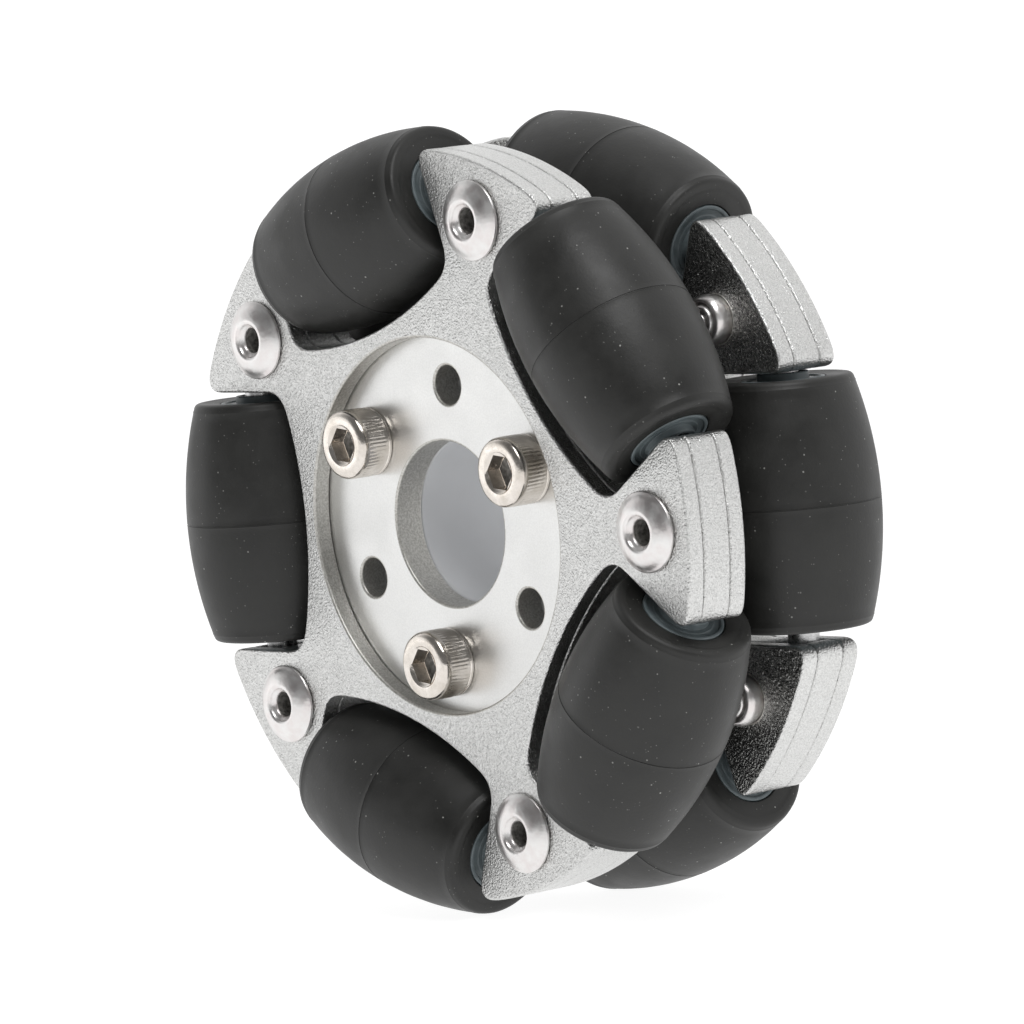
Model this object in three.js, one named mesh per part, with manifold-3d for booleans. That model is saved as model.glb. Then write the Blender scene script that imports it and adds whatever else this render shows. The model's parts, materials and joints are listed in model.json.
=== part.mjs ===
// Double-row omni wheel with ten barrel rollers, in millimetres.
// The wheel spins about the Y axis through the origin; its front face looks along -Y and +Z is up.
// Each row is a sandwich of three star-shaped aluminium plates held by five blind rivets. The rollers
// run on pins that lie in slots of the middle plate. The rear row is the front row turned over, so its
// rollers fill the gaps of the front row. Three cap screws join the rows over a spacer.

import * as THREE from 'three';
import * as BufferGeometryUtils from 'three/addons/utils/BufferGeometryUtils.js';
import Module from 'manifold-3d';

// ---- driving dimensions ----
const ROLLERS_PER_ROW = 5;
const WHEEL_RADIUS = 30; // axis to the crown of a roller
const ROW_OFFSET = 6.25; // wheel centre to the middle plane of a row

const ROLLER_RADIUS = 6.6;
const ROLLER_HALF_LENGTH = 9.35;
const ROLLER_CROWN = 31; // radius of the barrel arc along the roller
const ROLLER_EDGE = 0.25; // chamfer between the barrel and an end face
const TYRE_BORE = 3.2;
const CORE_RADIUS = 3.15;
const CORE_HALF_LENGTH = 9.25;
const CORE_BORE = 1.5;
const BOSS_RADIUS = 1.95; // the core's bosses stand out of the tyre and run against the arms
const BOSS_HALF_LENGTH = 9.7;
const PIN_RADIUS = 1.2;
const PIN_HALF_LENGTH = 12.6;
// where each roller rests on its pin, from the middle of its pocket towards rising angles of its row
const ROLLER_SLIDES = {
  front: [0, 0.1, 0, -0.1, 0],
  rear: [-0.3, -0.3, 0.1, 0, -0.1],
};

const MIDDLE_PLATE = 2.5; // thickness
const SIDE_PLATE = 1.5; // thickness
const PLATE_GAP = 0.05;
const ARM_RADIUS = 28.6; // outer arc of the arms
const ARM_CORNER = 1.9; // length rounded off each side of a corner
const POCKET_HALF_WIDTH = 10.1;
const POCKET_FLOOR = 15.65; // axis to the nearest point of a roller pocket
const POCKET_ARC = 30; // radius of the pocket floor, which bulges towards the axis
const POCKET_CORNER = 1.7; // length rounded off each side of a corner
const SLOT_HALF_WIDTH = 1.35;
const SLOT_END = 12.8; // middle of the roller to the closed end of a pin slot

const WINDOW_RADIUS = 14.3; // opening of the side plates around the hub
const BORE_RADIUS = 6.3;
const BOLT_CIRCLE = 10.6;
const BOLT_HOLE = 1.5;
const BOLT_HOLES = 6;
const FIRST_BOLT_ANGLE = 24; // degrees from +X towards +Z

const RIVET_CIRCLE = 24.2;
const RIVET_HOLE = 1.8;
const RIVET_SHANK = 1.6;
const RIVET_HEAD = 3.05;
const RIVET_HEAD_HEIGHT = 0.95;
const RIVET_BRIM = 0.2; // height of the head's straight edge
const RIVET_SHOULDER = 2.45; // radius where the dome of the head turns steep
const RIVET_SHOULDER_DROP = 0.3; // shoulder to the crown, along the axis
const RIVET_LIP = 1.37; // radius of the lip round the hole of the head
const RIVET_BORE = 0.98;
const RIVET_BORE_DEPTH = 1.6;
const RIVET_TAIL = 1.95;
const RIVET_TAIL_LENGTH = 1.7;
const RIVET_TAIL_EDGE = 0.3; // chamfer of the tail towards the plate
const RIVET_TAIL_TIP = 1.35; // radius of the flat at the end of the tail
const RIVET_TAIL_TAPER = 0.7; // length of the taper down to that flat

const SPACER_RADIUS = 13.2;
const SCREW_COUNT = 3;
const SCREW_RADIUS = 1.35;
const SCREW_LENGTH = 18;
const SCREW_HEAD_RADIUS = 2.65;
const SCREW_HEAD_HEIGHT = 2.9;
const SCREW_HEAD_EDGE = 0.3;
const SOCKET_ACROSS_FLATS = 2.5;
const SOCKET_DEPTH = 1.4;
const NUT_ACROSS_FLATS = 5.5;
const NUT_HEIGHT = 2.4;
const SEAT_GAP = 0.05; // between a head, nut or spacer and the face it bears on

const SMALL_SIDES = 10; // sides of small holes and pins
const ROLLER_SIDES = 16;
const HUB_SIDES = 30;
const CORNER_STEPS = 3; // straight pieces in a rounded corner
const BARREL_STATIONS = [-1, -0.5, 0, 0.5, 1]; // parts of the half length where the barrel bends
const FLOOR_STATIONS = [1, 0.5]; // parts of the half width where a pocket floor bends
const ARC_STATIONS = [-0.4, 0, 0.4]; // parts of the half width where the end of an arm bends
const MERGE_DISTANCE = 1e-4; // points nearer than this are one point
const CUT_MARGIN = 1; // how far a cutting solid stands out of what it cuts

// ---- worked-out values ----
const FULL_TURN = 2 * Math.PI;
const PITCH = FULL_TURN / ROLLERS_PER_ROW;
const FIRST_BOLT = THREE.MathUtils.degToRad(FIRST_BOLT_ANGLE);
const ROLLER_CIRCLE = WHEEL_RADIUS - ROLLER_RADIUS;
const MIDDLE_HALF = MIDDLE_PLATE / 2;
const SIDE_INNER = MIDDLE_HALF + PLATE_GAP;
const ROW_HALF = SIDE_INNER + SIDE_PLATE;
const HUB_FACE = ROW_OFFSET + MIDDLE_HALF; // wheel centre to the seats of the screw heads and nuts
const SPACER_HALF = ROW_OFFSET - MIDDLE_HALF - SEAT_GAP;

// ---- materials ----
const material = (color, roughness, metalness) =>
  new THREE.MeshStandardMaterial({ color, roughness, metalness });
const BLASTED_ALUMINIUM = material(0xc9cbcc, 0.5, 1);
const SMOOTH_ALUMINIUM = material(0xe2e3e3, 0.35, 1);
const POLISHED_ALUMINIUM = material(0xe6e4e2, 0.15, 1);
const NICKEL_STEEL = material(0xd8cfc6, 0.2, 1);
const BRIGHT_STEEL = material(0xb9bbbd, 0.3, 1);
const BLACK_RUBBER = material(0x262626, 0.7, 0);
const GREY_NYLON = material(0x6b7274, 0.5, 0);
const GREY_PLASTIC = material(0x9b9da2, 0.5, 0);

// ---- flat outlines, drawn in the plane of the wheel ----
const polar = (radius, angle) =>
  new THREE.Vector2(radius * Math.cos(angle), radius * Math.sin(angle));

function circlePoints(centre, radius, sides) {
  return Array.from({ length: sides }, (_, i) =>
    polar(radius, (FULL_TURN * i) / sides).add(centre));
}

const roundHole = (centre, radius, sides) => new THREE.Path(circlePoints(centre, radius, sides));

function ringOfHoles(circle, radius, count, firstAngle) {
  return Array.from({ length: count }, (_, i) =>
    roundHole(polar(circle, firstAngle + (FULL_TURN * i) / count), radius, SMALL_SIDES));
}

// Joins corners { at, round } into a closed outline; `round` is the length taken off each side.
function roundedShape(corners) {
  const towards = (from, to, length) =>
    from.clone().lerp(to, length / from.distanceTo(to));
  const points = corners.flatMap(({ at, round }, i) => {
    if (round === 0) return [at];
    const before = corners.at(i - 1).at;
    const after = corners[(i + 1) % corners.length].at;
    return new THREE.QuadraticBezierCurve(
      towards(at, before, round), at, towards(at, after, round)).getPoints(CORNER_STEPS);
  });
  return new THREE.Shape(points);
}

// Distance along the middle line of a pocket at which its floor lies, `across` from that line.
function pocketFloorAt(across) {
  return POCKET_FLOOR + POCKET_ARC - Math.sqrt(POCKET_ARC ** 2 - across ** 2);
}

// The corners of one roller pocket in its own frame: x runs outwards, y along the roller.
function pocketCorners(withSlots) {
  const wall = POCKET_HALF_WIDTH;
  const corner = (x, y, round = 0) => ({ x, y, round });
  const rim = corner(Math.sqrt(ARM_RADIUS ** 2 - wall ** 2), wall, ARM_CORNER);
  const slot = [
    corner(ROLLER_CIRCLE + SLOT_HALF_WIDTH, wall),
    corner(ROLLER_CIRCLE + SLOT_HALF_WIDTH, SLOT_END),
    corner(ROLLER_CIRCLE - SLOT_HALF_WIDTH, SLOT_END),
    corner(ROLLER_CIRCLE - SLOT_HALF_WIDTH, wall),
  ];
  const floor = FLOOR_STATIONS.map((part) =>
    corner(pocketFloorAt(part * wall), part * wall, part === 1 ? POCKET_CORNER : 0));
  const half = [rim, ...(withSlots ? slot : []), ...floor];
  const mirrored = half.map(({ x, y, round }) => corner(x, -y, round));
  return [...mirrored, corner(POCKET_FLOOR, 0), ...half.reverse()];
}

// The outline of a plate: pockets at odd half pitches, with the outer arc of an arm between them.
function starShape(withSlots) {
  const halfArm = PITCH / 2 - Math.asin(POCKET_HALF_WIDTH / ARM_RADIUS);
  const corners = [];
  for (let i = 0; i < ROLLERS_PER_ROW; i++) {
    for (const { x, y, round } of pocketCorners(withSlots)) {
      const at = new THREE.Vector2(x, y).rotateAround(new THREE.Vector2(), (i + 0.5) * PITCH);
      corners.push({ at, round });
    }
    for (const part of ARC_STATIONS) {
      corners.push({ at: polar(ARM_RADIUS, (i + 1) * PITCH + part * halfArm), round: 0 });
    }
  }
  return roundedShape(corners);
}

// Extrudes a shape from Y = low to Y = high; its x and y become X and Z.
function slab(shape, low, high) {
  const geometry = new THREE.ExtrudeGeometry(shape, { depth: high - low, bevelEnabled: false });
  return geometry.rotateX(Math.PI / 2).translate(0, high, 0);
}

// ---- plates and spacer ----
const CENTRE = new THREE.Vector2();
const rivetHoles = ringOfHoles(RIVET_CIRCLE, RIVET_HOLE, ROLLERS_PER_ROW, 0);
const boltHoles = ringOfHoles(BOLT_CIRCLE, BOLT_HOLE, BOLT_HOLES, FIRST_BOLT);

function sidePlate(low) {
  const shape = starShape(false);
  shape.holes = [roundHole(CENTRE, WINDOW_RADIUS, HUB_SIDES), ...rivetHoles];
  return slab(shape, low, low + SIDE_PLATE);
}

function middlePlate() {
  const shape = starShape(true);
  shape.holes = [roundHole(CENTRE, BORE_RADIUS, HUB_SIDES), ...boltHoles, ...rivetHoles];
  return slab(shape, -MIDDLE_HALF, MIDDLE_HALF);
}

function spacer() {
  const shape = new THREE.Shape(circlePoints(CENTRE, SPACER_RADIUS, HUB_SIDES));
  shape.holes = [roundHole(CENTRE, BORE_RADIUS, HUB_SIDES), ...boltHoles];
  return slab(shape, -SPACER_HALF, SPACER_HALF);
}

// ---- turned pieces ----
// Revolves [radius, height] pairs about Y. A solid profile starts and ends on the axis; both kinds
// run anticlockwise with the radius to the right.
function turned(profile, sides) {
  return new THREE.LatheGeometry(profile.map((pair) => new THREE.Vector2(...pair)), sides);
}

const turnedRing = (profile, sides) => turned([...profile, profile[0]], sides);

const barrelRadius = (along) =>
  ROLLER_RADIUS - ROLLER_CROWN + Math.sqrt(ROLLER_CROWN ** 2 - along ** 2);

function tyre() {
  const end = ROLLER_HALF_LENGTH;
  const shoulder = end - ROLLER_EDGE;
  const face = barrelRadius(shoulder) - ROLLER_EDGE;
  const barrel = BARREL_STATIONS.map((part) =>
    [barrelRadius(part * shoulder), part * shoulder]);
  return turnedRing(
    [[TYRE_BORE, -end], [face, -end], ...barrel, [face, end], [TYRE_BORE, end]], ROLLER_SIDES);
}

function rollerCore() {
  const body = CORE_HALF_LENGTH;
  const boss = BOSS_HALF_LENGTH;
  return turnedRing([
    [CORE_BORE, -boss], [BOSS_RADIUS, -boss], [BOSS_RADIUS, -body], [CORE_RADIUS, -body],
    [CORE_RADIUS, body], [BOSS_RADIUS, body], [BOSS_RADIUS, boss], [CORE_BORE, boss],
  ], ROLLER_SIDES);
}

function axlePin() {
  const end = PIN_HALF_LENGTH;
  return turned([[0, -end], [PIN_RADIUS, -end], [PIN_RADIUS, end], [0, end]], SMALL_SIDES);
}

// A set blind rivet: hollow domed head outside the row, at -Y, and bulbed tail inside, at +Y.
function rivet() {
  const headSeat = -ROW_HALF - SEAT_GAP;
  const crown = headSeat - RIVET_HEAD_HEIGHT;
  const tailSeat = ROW_HALF + SEAT_GAP;
  const tailEnd = tailSeat + RIVET_TAIL_LENGTH;
  const boreEnd = crown + RIVET_BORE_DEPTH;
  return turned([
    [0, boreEnd], [RIVET_BORE, boreEnd], [RIVET_LIP, crown],
    [RIVET_SHOULDER, crown + RIVET_SHOULDER_DROP],
    [RIVET_HEAD, headSeat - RIVET_BRIM], [RIVET_HEAD, headSeat],
    [RIVET_SHANK, headSeat], [RIVET_SHANK, tailSeat],
    [RIVET_TAIL, tailSeat + RIVET_TAIL_EDGE], [RIVET_TAIL, tailEnd - RIVET_TAIL_TAPER],
    [RIVET_TAIL_TIP, tailEnd], [0, tailEnd],
  ], SMALL_SIDES);
}

function hexPrism(acrossFlats, low, high, holes = []) {
  const corners = circlePoints(CENTRE, acrossFlats / Math.sqrt(3), 6);
  const shape = new THREE.Shape(corners);
  shape.holes = holes;
  return slab(shape, low, high);
}

const hexNut = () =>
  hexPrism(NUT_ACROSS_FLATS, HUB_FACE + SEAT_GAP, HUB_FACE + SEAT_GAP + NUT_HEIGHT,
    [roundHole(CENTRE, BOLT_HOLE, SMALL_SIDES)]);

// ---- solid cutting ----
const wasm = await Module();
wasm.setup();

function toManifold(geometry) {
  const bare = geometry.clone();
  bare.deleteAttribute('normal');
  bare.deleteAttribute('uv');
  const merged = BufferGeometryUtils.mergeVertices(bare, MERGE_DISTANCE);
  return new wasm.Manifold(new wasm.Mesh({
    numProp: 3,
    vertProperties: Float32Array.from(merged.attributes.position.array),
    triVerts: Uint32Array.from(merged.index.array),
  }));
}

function toGeometry(solid) {
  const mesh = solid.getMesh();
  const geometry = new THREE.BufferGeometry();
  geometry.setAttribute('position', new THREE.BufferAttribute(mesh.vertProperties, 3));
  geometry.setIndex(new THREE.BufferAttribute(mesh.triVerts, 1));
  geometry.computeVertexNormals();
  return geometry;
}

// A socket-head cap screw with its head on the front hub face and its tip past the rear one.
function capScrew() {
  const seat = -HUB_FACE - SEAT_GAP;
  const top = seat - SCREW_HEAD_HEIGHT;
  const tip = seat + SCREW_LENGTH;
  const body = turned([
    [0, top], [SCREW_HEAD_RADIUS - SCREW_HEAD_EDGE, top], [SCREW_HEAD_RADIUS, top + SCREW_HEAD_EDGE],
    [SCREW_HEAD_RADIUS, seat], [SCREW_RADIUS, seat],
    [SCREW_RADIUS, tip - SCREW_HEAD_EDGE], [SCREW_RADIUS - SCREW_HEAD_EDGE, tip], [0, tip],
  ], ROLLER_SIDES);
  const socket = hexPrism(SOCKET_ACROSS_FLATS, top - CUT_MARGIN, top + SOCKET_DEPTH);
  return toGeometry(toManifold(body).subtract(toManifold(socket)));
}

// ---- assembly ----
function named(name, geometry, itsMaterial) {
  const mesh = new THREE.Mesh(geometry, itsMaterial);
  mesh.name = name;
  return mesh;
}

// Places meshes made about the Y or Z axis at `radius` from the wheel's axis, turned to `angle`.
function station(radius, angle, ...meshes) {
  const group = new THREE.Group();
  group.rotation.y = -angle;
  for (const mesh of meshes) mesh.position.x = radius;
  return group.add(...meshes);
}

function row(prefix) {
  const group = new THREE.Group().add(
    named(`${prefix}_outer_plate`, sidePlate(-ROW_HALF), BLASTED_ALUMINIUM),
    named(`${prefix}_middle_plate`, middlePlate(), SMOOTH_ALUMINIUM),
    named(`${prefix}_inner_plate`, sidePlate(SIDE_INNER), BLASTED_ALUMINIUM));
  for (let i = 0; i < ROLLERS_PER_ROW; i++) {
    const roller = [
      named(`${prefix}_roller_tyre_${i + 1}`, tyre(), BLACK_RUBBER),
      named(`${prefix}_roller_core_${i + 1}`, rollerCore(), GREY_NYLON),
      named(`${prefix}_axle_pin_${i + 1}`, axlePin(), BRIGHT_STEEL),
    ];
    for (const mesh of roller) mesh.rotation.x = Math.PI / 2;
    for (const mesh of roller.slice(0, 2)) mesh.position.z = ROLLER_SLIDES[prefix][i];
    group.add(station(ROLLER_CIRCLE, (i + 0.5) * PITCH, ...roller));
    group.add(station(RIVET_CIRCLE, i * PITCH,
      named(`${prefix}_rivet_${i + 1}`, rivet(), POLISHED_ALUMINIUM)));
  }
  return group;
}

const frontRow = row('front');
frontRow.position.y = -ROW_OFFSET;
const rearRow = row('rear');
rearRow.position.y = ROW_OFFSET;
rearRow.rotation.set(0, PITCH, Math.PI);

const wheel = new THREE.Group().add(frontRow, rearRow);
wheel.add(named('hub_spacer', spacer(), GREY_PLASTIC));
for (let i = 0; i < SCREW_COUNT; i++) {
  const angle = FIRST_BOLT + (FULL_TURN * i) / SCREW_COUNT;
  wheel.add(station(BOLT_CIRCLE, angle,
    named(`hub_screw_${i + 1}`, capScrew(), NICKEL_STEEL),
    named(`hub_nut_${i + 1}`, hexNut(), NICKEL_STEEL)));
}

export default wheel;
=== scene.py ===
import json
import math

import bmesh
import bpy
from mathutils import Matrix, Vector
from mathutils.geometry import tessellate_polygon

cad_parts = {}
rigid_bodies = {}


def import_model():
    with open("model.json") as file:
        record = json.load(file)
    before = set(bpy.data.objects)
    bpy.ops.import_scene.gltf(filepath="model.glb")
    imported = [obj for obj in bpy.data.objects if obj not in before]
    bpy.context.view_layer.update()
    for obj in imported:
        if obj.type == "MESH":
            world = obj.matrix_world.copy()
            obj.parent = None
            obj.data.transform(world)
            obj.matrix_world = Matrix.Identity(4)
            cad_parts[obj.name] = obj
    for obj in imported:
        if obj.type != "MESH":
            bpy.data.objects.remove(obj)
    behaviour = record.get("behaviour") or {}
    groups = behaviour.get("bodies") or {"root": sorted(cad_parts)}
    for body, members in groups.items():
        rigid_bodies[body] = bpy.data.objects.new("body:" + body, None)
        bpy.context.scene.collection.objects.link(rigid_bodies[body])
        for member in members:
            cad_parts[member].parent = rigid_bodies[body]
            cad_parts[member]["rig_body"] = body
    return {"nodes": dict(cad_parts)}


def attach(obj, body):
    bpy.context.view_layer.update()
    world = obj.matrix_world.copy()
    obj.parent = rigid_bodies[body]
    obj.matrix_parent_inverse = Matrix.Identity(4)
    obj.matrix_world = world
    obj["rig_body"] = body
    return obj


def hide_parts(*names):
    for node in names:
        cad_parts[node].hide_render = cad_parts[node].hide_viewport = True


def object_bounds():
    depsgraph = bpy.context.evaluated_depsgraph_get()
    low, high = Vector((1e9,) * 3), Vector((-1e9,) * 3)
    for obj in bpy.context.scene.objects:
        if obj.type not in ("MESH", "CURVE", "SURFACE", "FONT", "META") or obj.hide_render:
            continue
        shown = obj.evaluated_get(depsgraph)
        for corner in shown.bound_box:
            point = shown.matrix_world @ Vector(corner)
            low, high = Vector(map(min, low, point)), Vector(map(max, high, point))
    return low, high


# A 60 mm double omni wheel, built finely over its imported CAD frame. The wheel spins about Y and its front
# face looks along -Y. Each piece stands for one CAD node and rides on that node's body. Lengths are in
# millimetres while a piece is drawn, and in metres once its mesh is made.

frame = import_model()
cad_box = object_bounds()

MM = 0.001
FULL_TURN = 2 * math.pi

# ---- driving dimensions, the same as the CAD's apart from MIDDLE_HALF ----
ROLLERS_PER_ROW = 5
PITCH = FULL_TURN / ROLLERS_PER_ROW
WHEEL_RADIUS = 30
ROW_OFFSET = 6.25  # wheel centre to the middle plane of a row

ROLLER_RADIUS = 6.6
ROLLER_CIRCLE = WHEEL_RADIUS - ROLLER_RADIUS
ROLLER_HALF_LENGTH = 9.35
ROLLER_CROWN = 31  # radius of the barrel arc along the roller
TYRE_BORE = 3.2
CORE_RADIUS = 3.15
CORE_BORE = 1.5
BOSS_RADIUS = 1.95
BOSS_HALF_LENGTH = 9.7
PIN_RADIUS = 1.2
PIN_HALF_LENGTH = 12.6
# where each roller rests on its pin, from the middle of its pocket towards rising angles of its row
ROLLER_SLIDES = {
    "front": (0, 0.1, 0, -0.1, 0),
    "rear": (-0.3, -0.3, 0.1, 0, -0.1),
}

MIDDLE_HALF = 1.28  # half the thickness of a middle plate, 0.03 over the CAD's so that its seams are fine
SIDE_INNER = 1.3  # row's middle plane to the near face of a side plate
SIDE_OUTER = 2.8
ARM_RADIUS = 28.6
ARM_CORNER = 1.9
POCKET_HALF_WIDTH = 10.1
POCKET_FLOOR = 15.65
POCKET_ARC = 30
POCKET_CORNER = 1.7
SLOT_HALF_WIDTH = 1.35
SLOT_END = 12.8

WINDOW_RADIUS = 14.3
BORE_RADIUS = 6.3
BOLT_CIRCLE = 10.6
BOLT_HOLE = 1.5
BOLT_HOLES = 6
FIRST_BOLT = math.radians(24)
SPACER_RADIUS = 13.2
SPACER_HALF = 4.95

RIVET_CIRCLE = 24.2
RIVET_HOLE = 1.8
RIVET_SHANK = 1.6
RIVET_HEAD = 3.05
RIVET_SEAT = 2.85  # row's middle plane to the seats of head and tail

SCREW_COUNT = 3
SCREW_SEAT = 7.55  # wheel centre to the seats of screw heads and nuts
SCREW_RADIUS = 1.35
SCREW_TIP = 10.45
SCREW_HEAD_RADIUS = 2.65
SCREW_HEAD_HEIGHT = 2.9
NUT_ACROSS_FLATS = 5.5
NUT_HEIGHT = 2.4

# ---- fineness of the meshes ----
EDGE_STEPS = 4  # rings in the rounded edge of a plate
PLATE_EDGE = 0.2  # radius of that edge
CORNER_STEPS = 8
WINDOW_SIDES = 128
HOLE_SIDES = 40
TYRE_SIDES = 80
RIVET_SIDES = 72
KNURL_TEETH = 56
KNURL_SIDES = 6 * KNURL_TEETH
CREASE = math.radians(38)  # edges sharper than this are shaded as edges


# ---- flat outlines, in the plane of the wheel ----
def rounded_path(corners, steps=CORNER_STEPS, closed=True):
    """Points of a path through corners (x, y, round).

    `round` is the length taken off each side of a corner.
    """
    points = []
    for i, (x, y, rounding) in enumerate(corners):
        at = Vector((x, y))
        is_end = not closed and i in (0, len(corners) - 1)
        if rounding == 0 or is_end:
            points.append(at)
            continue
        before = Vector(corners[i - 1][:2])
        after = Vector(corners[(i + 1) % len(corners)][:2])
        start = at + (before - at).normalized() * rounding
        end = at + (after - at).normalized() * rounding
        for step in range(steps + 1):
            t = step / steps
            points.append(start * (1 - t) ** 2 + at * 2 * t * (1 - t) + end * t ** 2)
    return points


def polar(radius, angle):
    return Vector((radius * math.cos(angle), radius * math.sin(angle)))


def circle(centre, radius, sides):
    return [centre + polar(radius, FULL_TURN * i / sides) for i in range(sides)]


def ring_of_holes(on_circle, radius, count, first_angle):
    centres = [polar(on_circle, first_angle + FULL_TURN * i / count) for i in range(count)]
    return [circle(centre, radius, HOLE_SIDES) for centre in centres]


def pocket_floor_at(across):
    return POCKET_FLOOR + POCKET_ARC - math.sqrt(POCKET_ARC ** 2 - across ** 2)


def pocket_corners(with_slots):
    """Corners of one roller pocket in its own frame: x runs outwards and y along the roller."""
    wall = POCKET_HALF_WIDTH
    half = [(math.sqrt(ARM_RADIUS ** 2 - wall ** 2), wall, ARM_CORNER)]
    if with_slots:
        half += [
            (ROLLER_CIRCLE + SLOT_HALF_WIDTH, wall, 0),
            (ROLLER_CIRCLE + SLOT_HALF_WIDTH, SLOT_END, 0),
            (ROLLER_CIRCLE - SLOT_HALF_WIDTH, SLOT_END, 0),
            (ROLLER_CIRCLE - SLOT_HALF_WIDTH, wall, 0),
        ]
    half.append((pocket_floor_at(wall), wall, POCKET_CORNER))
    half += [(pocket_floor_at(wall * part / 10), wall * part / 10, 0) for part in range(8, 0, -1)]
    mirrored = [(x, -y, rounding) for x, y, rounding in half]
    return [*mirrored, (POCKET_FLOOR, 0, 0), *reversed(half)]


def star(with_slots):
    """Outline of a plate: pockets at odd half pitches, with the outer arc of an arm between them."""
    half_arm = PITCH / 2 - math.asin(POCKET_HALF_WIDTH / ARM_RADIUS)
    corners = []
    for i in range(ROLLERS_PER_ROW):
        turn = Matrix.Rotation((i + 0.5) * PITCH, 2)
        for x, y, rounding in pocket_corners(with_slots):
            at = turn @ Vector((x, y))
            corners.append((at.x, at.y, rounding))
        for part in range(-7, 8):
            at = polar(ARM_RADIUS, (i + 1) * PITCH + half_arm * part / 10)
            corners.append((at.x, at.y, 0))
    return rounded_path(corners)


# ---- slabs with rounded edges ----
def signed_area(loop):
    following = loop[1:] + loop[:1]
    return sum(a.x * b.y - b.x * a.y for a, b in zip(loop, following)) / 2


def inward_steps(loop):
    """For each point, the step to the left of the way along the loop that moves both its sides by one."""
    steps = []
    for before, at, after in zip(loop[-1:] + loop[:-1], loop, loop[1:] + loop[:1]):
        arriving = (at - before).normalized()
        leaving = (after - at).normalized()
        left = (arriving + leaving).normalized().orthogonal()
        if left.dot(Vector((-leaving.y, leaving.x))) < 0:
            left = -left
        steps.append(left / left.dot(Vector((-leaving.y, leaving.x))))
    return steps


def edge_profile(low, high, rounding):
    """Rings (inset, height, outward share, upward share) from the top face of a slab to its bottom face."""
    def arc(end, side):
        for step in range(EDGE_STEPS + 1):
            turn = math.pi / 2 * step / EDGE_STEPS
            out, up = math.sin(turn), math.cos(turn)
            yield rounding * (1 - out), end - side * rounding * (1 - up), out, side * up
    return [*arc(high, 1), *reversed(list(arc(low, -1)))]


def slab_mesh(name, outline, holes, low, high, rounding, placement):
    """A flat plate from Y = low to Y = high.

    Its faces take material 0, the edge of its outline material 1 and the walls of its holes material 2.
    """
    loops = [outline if signed_area(outline) > 0 else outline[::-1]]
    loops += [hole if signed_area(hole) < 0 else hole[::-1] for hole in holes]
    flat = [point for loop in loops for point in loop]
    steps = [step for loop in loops for step in inward_steps(loop)]
    profile = edge_profile(low, high, rounding)

    points, normals = [], []
    for inset, height, outward, upward in profile:
        for at, step in zip(flat, steps):
            moved = at + step * inset
            away = -step.normalized() * outward
            points.append(Vector((moved.x, height, moved.y)))
            normals.append(Vector((away.x, upward, away.y)))

    count = len(flat)
    starts = [sum(len(loop) for loop in loops[:i]) for i in range(len(loops))]
    rims = [[points[start + i].xzy for i in range(len(loop))] for start, loop in zip(starts, loops)]
    cap = [tuple(triangle) for triangle in tessellate_polygon(rims)]
    last = count * (len(profile) - 1)
    faces = cap + [tuple(i + last for i in reversed(triangle)) for triangle in cap]
    materials = [0] * len(faces)
    for start, loop in zip(starts, loops):
        for ring in range(len(profile) - 1):
            for i in range(len(loop)):
                here = ring * count + start + i
                beside = ring * count + start + (i + 1) % len(loop)
                faces.append((here, beside, beside + count, here + count))
                materials.append(1 if start == 0 else 2)

    mesh = bpy.data.meshes.new(name)
    mesh.from_pydata(points, [], faces)
    mesh.polygons.foreach_set("material_index", materials)
    make_outward(mesh)
    mesh.transform(Matrix.Scale(MM, 4) @ placement)
    turn = placement.to_3x3()
    mesh.shade_smooth()
    mesh.normals_split_custom_set_from_vertices([(turn @ normal).normalized() for normal in normals])
    return mesh


# ---- turned solids ----
def make_outward(mesh):
    solid = bmesh.new()
    solid.from_mesh(mesh)
    bmesh.ops.recalc_face_normals(solid, faces=solid.faces)
    solid.to_mesh(mesh)
    solid.free()


def at_angle(value, angle):
    return value(angle) if callable(value) else value


def turned_mesh(name, rings, sides, placement, hollow=False, deep_rings=0):
    """A closed solid about Y through rings (height, radius), numbers or functions of the angle.

    A hollow solid's last ring joins its first; the rings of any other start and end on the axis.
    The surface up to ring `deep_rings` takes material 1, the painted shade at the bottom of a hole, and the
    rest material 0.
    """
    solid = bmesh.new()
    rows = []
    for height, radius in rings:
        row = []
        for side in range(sides):
            angle = FULL_TURN * side / sides
            across = polar(at_angle(radius, angle), angle)
            row.append(solid.verts.new((across.x, at_angle(height, angle), across.y)))
        rows.append(row)
    pairs = list(zip(rows, rows[1:]))
    if hollow:
        pairs.append((rows[-1], rows[0]))
    for ring, (row, other) in enumerate(pairs):
        for side in range(sides):
            beside = (side + 1) % sides
            face = solid.faces.new((row[side], row[beside], other[beside], other[side]))
            face.material_index = 1 if ring < deep_rings else 0
    bmesh.ops.remove_doubles(solid, verts=solid.verts, dist=1e-4)
    bmesh.ops.recalc_face_normals(solid, faces=solid.faces)
    mesh = bpy.data.meshes.new(name)
    solid.to_mesh(mesh)
    solid.free()
    mesh.transform(Matrix.Scale(MM, 4) @ placement)
    mesh.shade_smooth()
    mesh.set_sharp_from_angle(angle=CREASE)
    return mesh


def turned_profile(corners, closed=False):
    """Rings (height, radius) of a profile whose corners (height, radius, round) are rounded."""
    return [tuple(point) for point in rounded_path(corners, steps=4, closed=closed)]


def hexagon(across_flats):
    """Radius of a hexagon as a function of the angle."""
    def radius(angle):
        from_flat = (angle + math.pi / 6) % (math.pi / 3) - math.pi / 6
        return across_flats / 2 / math.cos(from_flat)
    return radius


def ridges(radius, depth, count):
    """Radius of a ring of V-shaped ridges as a function of the angle."""
    def at(angle):
        phase = angle * count / FULL_TURN % 1
        return radius - depth * abs(2 * phase - 1) ** 1.5
    return at


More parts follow.
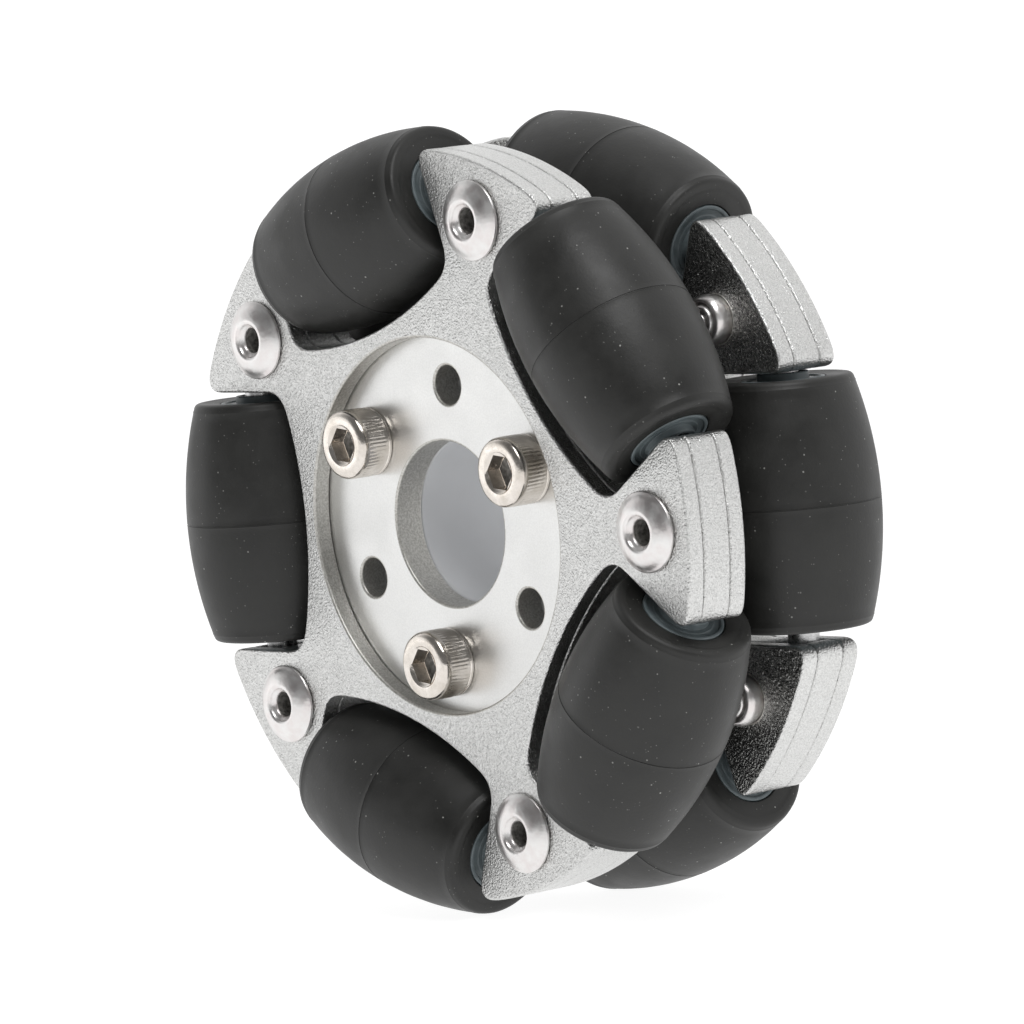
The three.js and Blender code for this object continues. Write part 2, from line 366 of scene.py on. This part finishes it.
# ---- pieces of a roller, turned about Y with their middle at the origin ----
def barrel_radius(along):
    return ROLLER_RADIUS - ROLLER_CROWN + math.sqrt(ROLLER_CROWN ** 2 - along ** 2)


SPLIT_LINE = [(-0.09, 0), (-0.06, 0.008), (-0.03, -0.035), (0.03, -0.035), (0.06, 0.008), (0.09, 0)]
FLASH_AT = 8.75  # roller's middle to the thin mould line before each end
FLASH_LINE = [(-0.07, 0), (-0.02, 0.022), (0.02, 0.022), (0.07, 0)]


def mould_line(middle, shape):
    return [(middle + along, barrel_radius(middle + along) + rise, 0) for along, rise in shape]


def tyre_profile():
    """Rings of a rubber tyre: barrel, mould lines, rounded ends and shallow end cones round the bore."""
    end = ROLLER_HALF_LENGTH
    end_corners = [
        (end, barrel_radius(end), 0.35),
        (end, 4.5, 0.1),
        (end - 0.06, 4.25, 0.15),
        (end - 0.12, TYRE_BORE + 0.06, 0.04),
        (end - 0.2, TYRE_BORE, 0),
    ]
    smooth = [(along / 2, barrel_radius(along / 2), 0) for along in range(1, 17)]
    half = [*smooth, *mould_line(FLASH_AT, FLASH_LINE), *end_corners]
    mirrored = [(-along, radius, rounding) for along, radius, rounding in reversed(half)]
    return turned_profile([*mirrored, *mould_line(0, SPLIT_LINE), *half], closed=True)


def core_profile():
    """Rings of a moulded core: boss, stepped flange with a raised rim, and bore."""
    half = [
        (8.9, CORE_RADIUS, 0),
        (9.24, CORE_RADIUS - 0.02, 0.1),
        (9.24, 2.86, 0.06),
        (9.08, 2.78, 0.05),
        (9.08, 2.4, 0.05),
        (9.14, 2.32, 0.04),
        (9.14, BOSS_RADIUS + 0.02, 0.05),
        (BOSS_HALF_LENGTH, BOSS_RADIUS, 0.15),
        (BOSS_HALF_LENGTH, CORE_BORE + 0.08, 0.06),
        (BOSS_HALF_LENGTH - 0.15, CORE_BORE, 0),
    ]
    mirrored = [(-along, radius, rounding) for along, radius, rounding in reversed(half)]
    return turned_profile([*mirrored, *half], closed=True)


def pin_profile():
    end = PIN_HALF_LENGTH
    return turned_profile([
        (-end, 0, 0), (-end, PIN_RADIUS, 0.2), (end, PIN_RADIUS, 0.2), (end, 0, 0),
    ])


# ---- rivets, screws and nuts, turned about Y ----
def rivet_head_profile():
    """The hollow domed head, from the bottom of its hole to the shank."""
    crown = -RIVET_SEAT - 0.95
    return [
        (crown + 2.4, 0, 0),
        (crown + 2.2, 0.9, 0),
        (crown + 0.6, 0.95, 0),
        (crown + 0.45, 1.0, 0.1),
        (crown + 0.24, 1.24, 0.08),
        (crown + 0.1, 1.32, 0.05),
        (crown + 0.02, 1.44, 0.06),
        (crown, 1.62, 0.1),
        (crown + 0.1, 2.0, 0.2),
        (crown + 0.3, 2.42, 0.2),
        (crown + 0.58, 2.78, 0.12),
        (crown + 0.66, 2.94, 0.06),
        (crown + 0.72, RIVET_HEAD - 0.03, 0.06),
        (-RIVET_SEAT - 0.06, RIVET_HEAD - 0.02, 0.06),
        (-RIVET_SEAT, RIVET_HEAD - 0.14, 0),
        (-RIVET_SEAT, RIVET_SHANK, 0),
    ]


def rivet_tail_profile():
    """The bulbed tail, its rolled lip and the stub of the broken mandrel."""
    seat = RIVET_SEAT
    return [
        (seat, RIVET_SHANK, 0),
        (seat + 0.05, 1.8, 0.1),
        (seat + 0.4, 1.95, 0.2),
        (seat + 0.95, 1.95, 0.25),
        (seat + 1.35, 1.72, 0.15),
        (seat + 1.42, 1.5, 0.1),
        (seat + 1.15, 1.36, 0.08),
        (seat + 1.12, 1.26, 0.04),
        (seat + 1.5, 1.16, 0.1),
        (seat + 1.6, 0.98, 0.08),
        (seat + 1.5, 0.84, 0.08),
        (seat + 1.15, 0.78, 0.03),
        (seat + 1.15, 0.62, 0.03),
        (seat + 1.6, 0.56, 0.1),
        (seat + 1.68, 0.3, 0.1),
        (seat + 1.56, 0, 0),
    ]


def screw_head_rings():
    """Rings of a cap screw's head: conical socket bottom, hexagon socket, face, rounded rim and knurl."""
    top = -SCREW_SEAT - SCREW_HEAD_HEIGHT
    radius = SCREW_HEAD_RADIUS
    socket = hexagon(2.5)
    knurl = ridges(radius, 0.04, KNURL_TEETH)
    rim = turned_profile([
        (top + 0.1, 1.5, 0), (top, 1.58, 0.05), (top, radius, 0.62), (top + 0.7, radius - 0.01, 0),
    ])
    base = turned_profile([
        (-SCREW_SEAT - 0.62, radius - 0.02, 0), (-SCREW_SEAT - 0.36, radius - 0.02, 0),
        (-SCREW_SEAT - 0.3, radius - 0.08, 0), (-SCREW_SEAT - 0.24, radius - 0.02, 0),
        (-SCREW_SEAT, radius - 0.03, 0.1), (-SCREW_SEAT, SCREW_RADIUS, 0),
    ])
    return [
        (top + 1.5, 0), (top + 1.35, lambda angle: 0.97 * socket(angle)),
        (top + 1.3, socket), (top + 0.16, socket),
        *rim, (top + 0.76, knurl), (-SCREW_SEAT - 0.68, knurl), *base,
    ]


def screw_tip_rings():
    """Rings of the threaded end of a screw: a true helix with a V section, and a chamfered tip."""
    pitch, depth, step = 0.5, 0.28, 0.0625
    start = SCREW_SEAT - 1

    def groove(height):
        def radius(angle):
            phase = (height / pitch - angle / FULL_TURN) % 1
            chamfer = max(0, height - SCREW_TIP + 0.35)
            return SCREW_RADIUS - max(depth * abs(2 * phase - 1), chamfer)
        return radius

    rings = int((SCREW_TIP - start) / step)
    heights = [start + step * i for i in range(rings + 1)]
    return [
        (start - 0.1, SCREW_RADIUS), *[(height, groove(height)) for height in heights],
        (SCREW_TIP, 0.9), (SCREW_TIP - 0.03, 0),
    ]


def nut_rings():
    """Rings of a hexagon nut whose corners are chamfered at both ends."""
    low, high = SCREW_SEAT, SCREW_SEAT + NUT_HEIGHT
    flats = hexagon(NUT_ACROSS_FLATS)
    face = NUT_ACROSS_FLATS / 2 * 0.97

    def fall(angle):
        return (flats(angle) - face) * math.tan(math.radians(30))

    return [
        (low + 0.2, SCREW_RADIUS), (low, SCREW_RADIUS + 0.2), (low, face),
        (lambda angle: low + fall(angle), flats), (lambda angle: high - fall(angle), flats),
        (high, face), (high, SCREW_RADIUS + 0.25), (high - 0.25, SCREW_RADIUS),
    ]


# ---- finishes ----
class Finish:
    """A Principled material whose patterns lie in object space, with their sizes in millimetres."""

    def __init__(self, name, color, metallic, roughness):
        self.material = bpy.data.materials.new(name)
        self.material.use_nodes = True
        self.nodes = self.material.node_tree.nodes
        self.links = self.material.node_tree.links
        self.shader = self.nodes["Principled BSDF"]
        self.shader.inputs["Base Color"].default_value = (*color, 1)
        self.shader.inputs["Metallic"].default_value = metallic
        self.shader.inputs["Roughness"].default_value = roughness
        self.place = self.nodes.new("ShaderNodeTexCoord").outputs["Object"]

    def noise(self, size, detail=2.0, roughness=0.5):
        node = self.nodes.new("ShaderNodeTexNoise")
        node.inputs["Scale"].default_value = 1 / (size * MM)
        node.inputs["Detail"].default_value = detail
        node.inputs["Roughness"].default_value = roughness
        self.links.new(self.place, node.inputs["Vector"])
        return node.outputs["Fac"]

    def cells(self, size):
        """Distance to the nearest of many scattered points, in cells."""
        node = self.nodes.new("ShaderNodeTexVoronoi")
        node.inputs["Scale"].default_value = 1 / (size * MM)
        self.links.new(self.place, node.inputs["Vector"])
        return node.outputs["Distance"]

    def spread(self, source, low, high, to_low, to_high):
        """Maps low..high to to_low..to_high and holds the ends."""
        node = self.nodes.new("ShaderNodeMapRange")
        node.inputs["From Min"].default_value = low
        node.inputs["From Max"].default_value = high
        node.inputs["To Min"].default_value = to_low
        node.inputs["To Max"].default_value = to_high
        self.links.new(source, node.inputs["Value"])
        return node.outputs["Result"]

    def combine(self, operation, first, second):
        node = self.nodes.new("ShaderNodeMath")
        node.operation = operation
        self.links.new(first, node.inputs[0])
        self.links.new(second, node.inputs[1])
        return node.outputs["Value"]

    def tint(self, share, low, high):
        """Base colour between two colours by a share from 0 to 1."""
        node = self.nodes.new("ShaderNodeMix")
        node.data_type = "RGBA"
        node.inputs["A"].default_value = (*low, 1)
        node.inputs["B"].default_value = (*high, 1)
        self.links.new(share, node.inputs["Factor"])
        self.links.new(node.outputs["Result"], self.shader.inputs["Base Color"])

    def roughen(self, source):
        self.links.new(source, self.shader.inputs["Roughness"])

    def bump(self, *layers):
        """Relief from layers (height, depth in millimetres), the first one lowest."""
        below = None
        for height, depth in layers:
            node = self.nodes.new("ShaderNodeBump")
            node.inputs["Distance"].default_value = depth * MM
            self.links.new(height, node.inputs["Height"])
            if below:
                self.links.new(below, node.inputs["Normal"])
            below = node.outputs["Normal"]
        self.links.new(below, self.shader.inputs["Normal"])


def blasted_aluminium():
    """Bead-blasted plate: a fine sparkling grain over gently waved metal."""
    finish = Finish("blasted_aluminium", (0.7, 0.7, 0.69), 1, 0.34)
    grain = finish.noise(0.13, detail=2, roughness=0.6)
    pits = finish.spread(finish.cells(0.2), 0.05, 0.6, 0, 1)
    patches = finish.noise(2.5)
    finish.tint(finish.spread(grain, 0.36, 0.62, 0, 1), (0.6, 0.6, 0.59), (0.77, 0.77, 0.76))
    finish.roughen(finish.spread(patches, 0.3, 0.7, 0.28, 0.36))
    finish.bump((finish.noise(1.6), 0.03), (pits, 0.03), (grain, 0.06))
    return finish.material


def coarse_aluminium():
    """Inward faces of the rows: metal darkened as painted shade and painted dark reflection of the gap
    between the rows, with a coarse grain that sparkles where it catches light.
    """
    finish = Finish("coarse_aluminium", (0.4, 0.4, 0.39), 1, 0.24)
    grain = finish.noise(0.16, detail=2, roughness=0.6)
    pits = finish.spread(finish.cells(0.24), 0.05, 0.6, 0, 1)
    # Both tones are darkened as painted shade of the gap between the rows; the grain picks between them.
    finish.tint(finish.spread(grain, 0.4, 0.62, 0, 1), (0.26, 0.26, 0.255), (0.62, 0.62, 0.6))
    finish.bump((pits, 0.04), (grain, 0.11))
    return finish.material


def smooth_aluminium():
    """Finely blasted hub disc: an even satin with a faint grain."""
    finish = Finish("smooth_aluminium", (0.76, 0.76, 0.75), 1, 0.36)
    grain = finish.noise(0.12, detail=2, roughness=0.6)
    finish.tint(finish.spread(grain, 0.35, 0.65, 0, 1), (0.7, 0.7, 0.69), (0.76, 0.76, 0.75))
    finish.roughen(finish.spread(finish.noise(3), 0.3, 0.7, 0.3, 0.36))
    finish.bump((finish.noise(2.2), 0.012), (grain, 0.008))
    return finish.material


def cut_aluminium():
    """Walls of the holes: bored metal, duller than the blasted faces."""
    finish = Finish("cut_aluminium", (0.58, 0.57, 0.54), 1, 0.46)
    grain = finish.noise(0.16, detail=2, roughness=0.6)
    finish.tint(finish.spread(grain, 0.36, 0.64, 0, 1), (0.48, 0.47, 0.44), (0.68, 0.67, 0.64))
    finish.bump((finish.noise(0.9), 0.02), (grain, 0.02))
    return finish.material


def polished_aluminium():
    """Rivets: bright, slightly warm metal with soft uneven smears."""
    finish = Finish("polished_aluminium", (0.8, 0.79, 0.78), 1, 0.34)
    smear = finish.noise(0.9, detail=3)
    finish.tint(finish.spread(smear, 0.35, 0.65, 0, 1), (0.76, 0.72, 0.71), (0.84, 0.83, 0.82))
    finish.roughen(finish.spread(smear, 0.3, 0.7, 0.28, 0.42))
    finish.bump((smear, 0.04), (finish.noise(0.15), 0.006))
    return finish.material


def nickel_steel():
    """Screws and nuts: warm bright nickel plating over slightly uneven steel."""
    finish = Finish("nickel_steel", (0.8, 0.74, 0.68), 1, 0.18)
    stain = finish.noise(1.1, detail=3)
    finish.tint(finish.spread(stain, 0.3, 0.7, 0, 1), (0.62, 0.57, 0.51), (0.8, 0.75, 0.7))
    finish.roughen(finish.spread(finish.noise(0.35, detail=3), 0.3, 0.7, 0.12, 0.26))
    finish.bump((stain, 0.015), (finish.noise(0.12), 0.004))
    return finish.material


def bright_steel():
    """Axle pins: ground steel."""
    finish = Finish("bright_steel", (0.6, 0.6, 0.6), 1, 0.3)
    marks = finish.noise(0.2, detail=3)
    finish.roughen(finish.spread(marks, 0.3, 0.7, 0.22, 0.38))
    finish.bump((marks, 0.005))
    return finish.material


def painted_shade_bore():
    """Bottoms of the rivets' holes and of the screws' sockets: dull metal painted dark, with mottled
    painted shade of the recess.
    """
    finish = Finish("painted_shade_bore", (0.2, 0.19, 0.18), 0.4, 0.55)
    shade_mottle = finish.noise(0.3, detail=3)
    # Both tones are painted shade of the hole's bottom, mottled by noise.
    finish.tint(finish.spread(shade_mottle, 0.3, 0.7, 0, 1), (0.1, 0.095, 0.09), (0.34, 0.33, 0.31))
    finish.bump((shade_mottle, 0.03))
    return finish.material


def black_rubber():
    """Tyres: matt moulded rubber with a soft bloom, specks of dust and a faintly uneven skin."""
    finish = Finish("black_rubber", (0.012, 0.012, 0.011), 0, 0.5)
    bloom = finish.noise(4, detail=4, roughness=0.6)
    coarse = finish.spread(finish.cells(0.9), 0.04, 0.1, 0.9, 0)
    fine = finish.spread(finish.cells(0.43), 0.05, 0.14, 0.4, 0)
    lasting = finish.spread(finish.noise(1.3, detail=3), 0.5, 0.6, 0, 1)
    dust = finish.combine("MULTIPLY", finish.combine("ADD", coarse, fine), lasting)
    share = finish.combine("ADD", dust, finish.spread(bloom, 0.35, 0.75, 0, 0.035))
    finish.tint(share, (0.011, 0.011, 0.01), (0.4, 0.4, 0.38))
    finish.roughen(finish.spread(bloom, 0.3, 0.7, 0.4, 0.56))
    finish.bump((finish.noise(3.5), 0.06), (finish.noise(0.25, detail=3), 0.01), (dust, 0.02))
    return finish.material


def grey_nylon():
    """Roller cores: moulded blue-grey plastic with a fine satin skin."""
    finish = Finish("grey_nylon", (0.13, 0.16, 0.17), 0, 0.4)
    cloud = finish.noise(0.8, detail=3)
    finish.tint(finish.spread(cloud, 0.3, 0.7, 0, 1), (0.11, 0.135, 0.145), (0.16, 0.19, 0.2))
    finish.roughen(finish.spread(cloud, 0.3, 0.7, 0.34, 0.48))
    finish.bump((finish.noise(0.1), 0.004))
    return finish.material


def grey_plastic():
    """Hub spacer: plain blue-grey plastic, smooth in its bore."""
    finish = Finish("grey_plastic", (0.67, 0.68, 0.7), 0, 0.42)
    cloud = finish.noise(4, detail=2)
    finish.tint(finish.spread(cloud, 0.3, 0.7, 0, 1), (0.65, 0.66, 0.68), (0.69, 0.7, 0.72))
    finish.roughen(finish.spread(cloud, 0.3, 0.7, 0.38, 0.48))
    finish.bump((finish.noise(0.2), 0.003))
    return finish.material


FINISHES = {
    "blasted_aluminium": blasted_aluminium(),
    "coarse_aluminium": coarse_aluminium(),
    "smooth_aluminium": smooth_aluminium(),
    "cut_aluminium": cut_aluminium(),
    "polished_aluminium": polished_aluminium(),
    "nickel_steel": nickel_steel(),
    "bright_steel": bright_steel(),
    "painted_shade_bore": painted_shade_bore(),
    "black_rubber": black_rubber(),
    "grey_nylon": grey_nylon(),
    "grey_plastic": grey_plastic(),
}


# ---- assembly ----
def stand_for(node, mesh, slot, *finishes):
    """Shows a mesh in place of a CAD node, on that node's body, with its materials in order."""
    piece = bpy.data.objects.new(mesh.name, mesh)
    bpy.context.scene.collection.objects.link(piece)
    for finish in finishes:
        mesh.materials.append(FINISHES[finish])
    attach(piece, frame["nodes"][node]["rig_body"])
    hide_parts(node)


def turned_piece(node, rings, sides, placement, slot, hollow=False, deep_rings=0):
    mesh = turned_mesh(f"{node}_fine", rings, sides, placement, hollow, deep_rings)
    # Material 1, at the bottom of a hole or socket, is a dark finish that paints the shade of the recess.
    stand_for(node, mesh, slot, slot, "painted_shade_bore")


def slab_piece(node, outline, holes, low, high, placement, slot, *finishes):
    mesh = slab_mesh(f"{node}_fine", outline, holes, low, high, PLATE_EDGE, placement)
    stand_for(node, mesh, slot, *finishes)


def station(radius, angle):
    """Place at `radius` from the wheel's axis, turned to `angle` from +X towards +Z."""
    return Matrix.Rotation(-angle, 4, "Y") @ Matrix.Translation((radius, 0, 0))


def build_plates(prefix, row):
    window = circle(Vector((0, 0)), WINDOW_RADIUS, WINDOW_SIDES)
    bore = circle(Vector((0, 0)), BORE_RADIUS, WINDOW_SIDES)
    rivet_holes = ring_of_holes(RIVET_CIRCLE, RIVET_HOLE, ROLLERS_PER_ROW, 0)
    bolt_holes = ring_of_holes(BOLT_CIRCLE, BOLT_HOLE, BOLT_HOLES, FIRST_BOLT)
    plain = star(with_slots=False)
    slotted = star(with_slots=True)
    slab_piece(f"{prefix}_outer_plate", plain, [window, *rivet_holes],
               -SIDE_OUTER, -SIDE_INNER, row,
               "blasted_aluminium", "blasted_aluminium", "blasted_aluminium", "cut_aluminium")
    # The inner plates' faces look across the gap between the rows and take a darker metal, painted shade of
    # that gap.
    slab_piece(f"{prefix}_inner_plate", plain, [window, *rivet_holes],
               SIDE_INNER, SIDE_OUTER, row,
               "blasted_aluminium", "coarse_aluminium", "blasted_aluminium", "cut_aluminium")
    slab_piece(f"{prefix}_middle_plate", slotted, [bore, *bolt_holes, *rivet_holes],
               -MIDDLE_HALF, MIDDLE_HALF, row,
               "smooth_aluminium", "smooth_aluminium", "blasted_aluminium", "cut_aluminium")


def build_roller(prefix, number, pin_place):
    slide = Matrix.Translation((0, ROLLER_SLIDES[prefix][number - 1], 0))
    placement = pin_place @ slide
    turned_piece(f"{prefix}_roller_tyre_{number}", tyre_profile(), TYRE_SIDES, placement,
                 "black_rubber", hollow=True)
    turned_piece(f"{prefix}_roller_core_{number}", core_profile(), RIVET_SIDES, placement,
                 "grey_nylon", hollow=True)
    turned_piece(f"{prefix}_axle_pin_{number}", pin_profile(), HOLE_SIDES, pin_place, "bright_steel")


def build_row(prefix, row):
    build_plates(prefix, row)
    rivet = turned_profile([*rivet_head_profile(), *rivet_tail_profile()[1:]])
    along_roller = Matrix.Rotation(math.pi / 2, 4, "X")
    for i in range(ROLLERS_PER_ROW):
        build_roller(prefix, i + 1, row @ station(ROLLER_CIRCLE, (i + 0.5) * PITCH) @ along_roller)
        turned_piece(f"{prefix}_rivet_{i + 1}", rivet, RIVET_SIDES,
                     row @ station(RIVET_CIRCLE, i * PITCH), "polished_aluminium", deep_rings=2)


def build_hub():
    centre = Vector((0, 0))
    bolt_holes = ring_of_holes(BOLT_CIRCLE, BOLT_HOLE, BOLT_HOLES, FIRST_BOLT)
    slab_piece("hub_spacer", circle(centre, SPACER_RADIUS, WINDOW_SIDES),
               [circle(centre, BORE_RADIUS, WINDOW_SIDES), *bolt_holes],
               -SPACER_HALF, SPACER_HALF, Matrix.Identity(4),
               "grey_plastic", "grey_plastic", "grey_plastic", "grey_plastic")
    screw = [*screw_head_rings(), *screw_tip_rings()]
    for i in range(SCREW_COUNT):
        place = station(BOLT_CIRCLE, FIRST_BOLT + FULL_TURN * i / SCREW_COUNT)
        turned_piece(f"hub_screw_{i + 1}", screw, KNURL_SIDES, place, "nickel_steel", deep_rings=1)
        turned_piece(f"hub_nut_{i + 1}", nut_rings(), RIVET_SIDES, place, "nickel_steel", hollow=True)


def build_wheel():
    front = Matrix.Translation((0, -ROW_OFFSET, 0))
    rear = (Matrix.Translation((0, ROW_OFFSET, 0)) @ Matrix.Rotation(PITCH, 4, "Y")
            @ Matrix.Rotation(math.pi, 4, "Z"))
    build_row("front", front)
    build_row("rear", rear)
    build_hub()


# ---- studio ----
FLOOR_HALF = 40  # half the side of the floor, in metres
FLOOR_GLOW = 0.93
DIM_SIDE = Vector((0.45, -0.8, 0.4))
DIM_FROM, DIM_TO = -0.1, 0.6  # cosines to the dim side where the world starts and ends growing dim
BRIGHT_WORLD, DIM_WORLD = 1.0, 0.15


def white_floor():
    """A large pale floor under the wheel that glows a little, as an overexposed table does."""
    half = FLOOR_HALF
    level = cad_box[0].z
    mesh = bpy.data.meshes.new("floor")
    corners = [(-half, -half, level), (half, -half, level), (half, half, level), (-half, half, level)]
    mesh.from_pydata(corners, [], [(0, 1, 2, 3)])
    finish = Finish("floor_white", (0.2, 0.2, 0.2), 0, 0.9)
    finish.shader.inputs["Emission Color"].default_value = (1, 1, 1, 1)
    finish.shader.inputs["Emission Strength"].default_value = FLOOR_GLOW
    mesh.materials.append(finish.material)
    floor = bpy.data.objects.new("floor", mesh)
    bpy.context.scene.collection.objects.link(floor)


def studio_world():
    """White all round, and dim towards the front right and above."""
    world = bpy.data.worlds.new("studio")
    bpy.context.scene.world = world
    world.use_nodes = True
    nodes, links = world.node_tree.nodes, world.node_tree.links
    direction = nodes.new("ShaderNodeTexCoord").outputs["Generated"]
    dot = nodes.new("ShaderNodeVectorMath")
    dot.operation = "DOT_PRODUCT"
    dot.inputs[1].default_value = DIM_SIDE.normalized()
    links.new(direction, dot.inputs[0])
    ramp = nodes.new("ShaderNodeMapRange")
    ramp.interpolation_type = "SMOOTHSTEP"
    ramp.inputs["From Min"].default_value = DIM_FROM
    ramp.inputs["From Max"].default_value = DIM_TO
    ramp.inputs["To Min"].default_value = BRIGHT_WORLD
    ramp.inputs["To Max"].default_value = DIM_WORLD
    links.new(dot.outputs["Value"], ramp.inputs["Value"])
    links.new(ramp.outputs["Result"], nodes["Background"].inputs["Color"])


def softbox(name, position, size, radiance, color=(1, 1, 1)):
    """A square light at `position`, in millimetres, that faces the wheel's centre."""
    light = bpy.data.lights.new(name, "AREA")
    light.size = size * MM
    light.energy = radiance * math.pi * light.size ** 2
    light.color = color
    lamp = bpy.data.objects.new(name, light)
    lamp.location = Vector(position) * MM
    lamp.rotation_euler = (-lamp.location).to_track_quat("-Z", "Y").to_euler()
    bpy.context.scene.collection.objects.link(lamp)


def lights():
    softbox("top_softbox", (230, -120, 420), 260, 5.4)
    softbox("left_softbox", (-300, -200, -10), 200, 0.5)


CAMERA_AZIMUTH = math.radians(49.957)
CAMERA_ELEVATION = math.radians(5.209)
CAMERA_ROLL = math.radians(-4.870)
CAMERA_DISTANCE = 496.7
CAMERA_SLIDE = (-0.99, -0.035)  # sideways and up, in the picture's own directions
SENSOR = 36
FOCAL_LENGTH = 6.358 * SENSOR  # the picture spans one part in 6.358 of the distance


def camera():
    azimuth, elevation, roll = CAMERA_AZIMUTH, CAMERA_ELEVATION, CAMERA_ROLL
    back = Vector((math.sin(azimuth) * math.cos(elevation),
                   -math.cos(azimuth) * math.cos(elevation), math.sin(elevation)))
    level = Vector((math.cos(azimuth), math.sin(azimuth), 0))
    upright = back.cross(level)
    right = level * math.cos(roll) + upright * math.sin(roll)
    up = upright * math.cos(roll) - level * math.sin(roll)
    data = bpy.data.cameras.new("camera")
    data.sensor_width = SENSOR
    data.lens = FOCAL_LENGTH
    data.clip_start = 0.01
    data.clip_end = 200
    place = back * CAMERA_DISTANCE + right * CAMERA_SLIDE[0] + up * CAMERA_SLIDE[1]
    view = bpy.data.objects.new("camera", data)
    view.matrix_world = Matrix.Translation(place * MM) @ Matrix((right, up, back)).transposed().to_4x4()
    bpy.context.scene.collection.objects.link(view)
    bpy.context.scene.camera = view


def plain_colours():
    """Shows colours as they are, so that the white ground stays white."""
    bpy.context.scene.view_settings.view_transform = "Standard"


build_wheel()
white_floor()
studio_world()
lights()
camera()
plain_colours()
